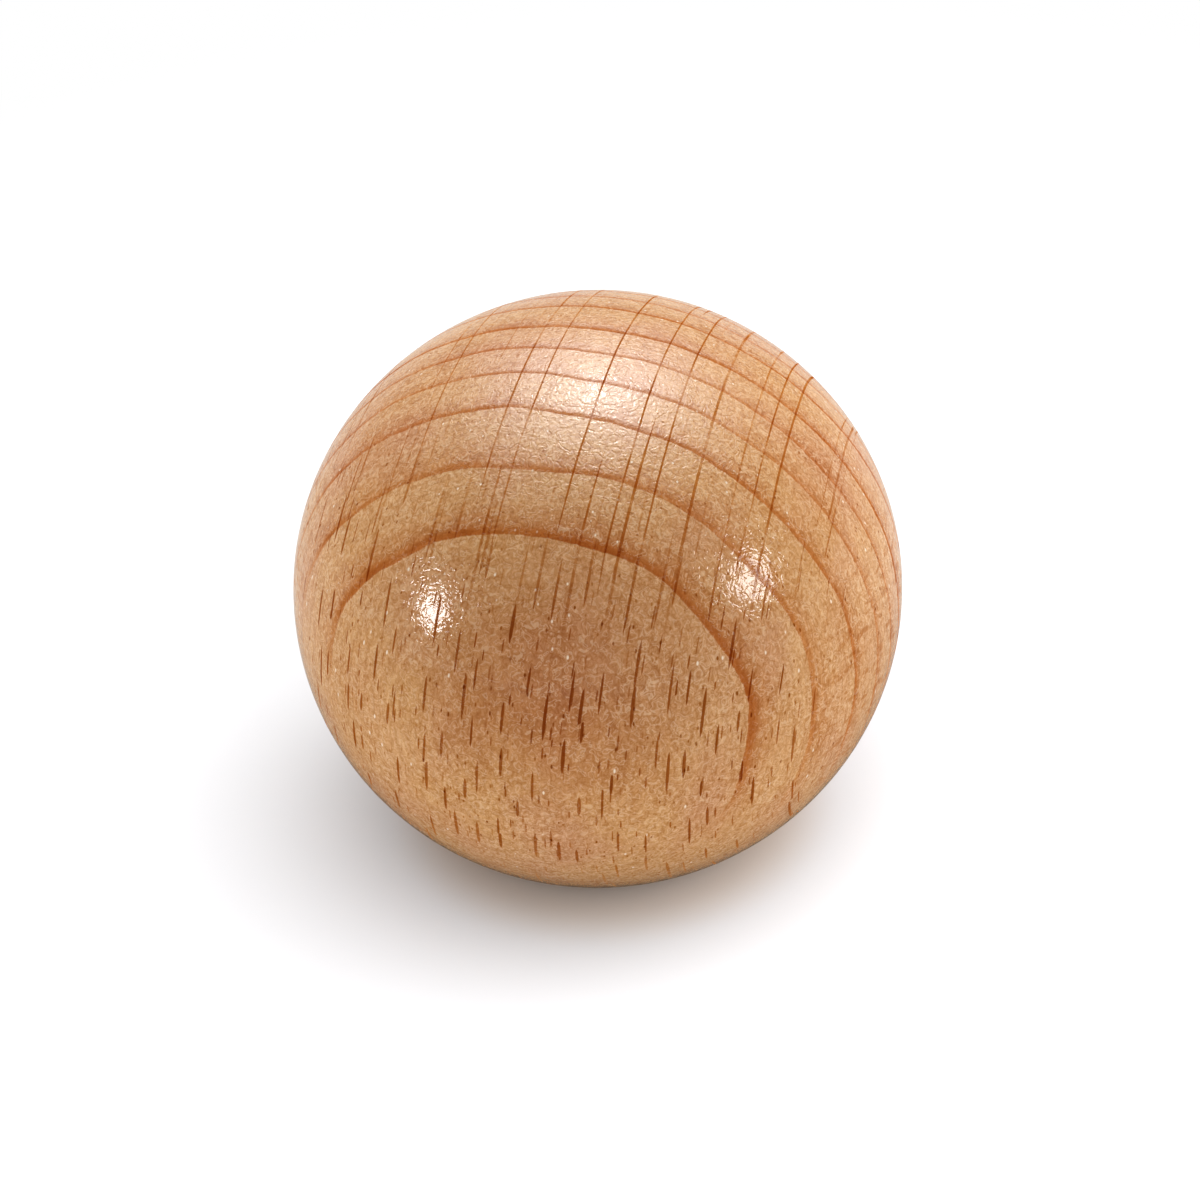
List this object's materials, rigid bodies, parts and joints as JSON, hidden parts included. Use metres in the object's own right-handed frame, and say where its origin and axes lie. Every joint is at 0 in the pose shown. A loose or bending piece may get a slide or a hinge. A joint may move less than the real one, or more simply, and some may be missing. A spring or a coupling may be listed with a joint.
{
  "type": "ball cabinet knob",
  "caption": "Turned beech ball knob for a cabinet door or drawer, clear lacquered, slightly oval, with a flat foot and a barbed brass insert that takes a machine screw.",
  "frame": {"origin": "centre of the flat foot, on the face that sits against the door", "axes": "+Z along the knob's axis of turning, away from the door; +X to the right of the view that shows the grain's loops, +Y away from it"},
  "size_m": [0.04, 0.04, 0.0377],
  "materials": {
    "lacquered_beech": "steamed beech under clear gloss lacquer",
    "insert_brass": "turned brass"
  },
  "bodies": {
    "root": {"ball": "lacquered_beech", "thread_insert": "insert_brass"}
  },
  "joints": []
}
